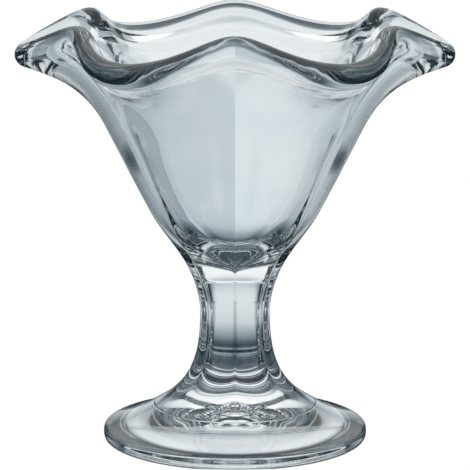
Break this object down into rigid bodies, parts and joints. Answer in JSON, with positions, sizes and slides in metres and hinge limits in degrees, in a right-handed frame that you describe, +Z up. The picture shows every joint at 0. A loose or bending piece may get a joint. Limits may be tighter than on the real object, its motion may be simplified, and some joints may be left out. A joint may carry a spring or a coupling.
{
  "type": "footed dessert glass",
  "caption": "Clear pressed-glass footed dessert coupe: flaring lobed bowl with a wavy petal rim and thick rounded lip, a drawn-in lobed stem and a round foot with a hollow underside.",
  "frame": {"origin": "centre of the flat bearing ring under the foot, on the surface that the glass stands on", "axes": "+Z up along the glass's axis; -Y towards the front, where a crest of the rim lies; +X towards a petal tip"},
  "size_m": [0.13, 0.1182, 0.1275],
  "materials": {
    "clear_glass": "fire-polished pressed clear glass with a faint cool tint and slight waviness"
  },
  "bodies": {
    "root": {"bowl": "clear_glass", "stem": "clear_glass", "foot": "clear_glass"}
  },
  "joints": []
}
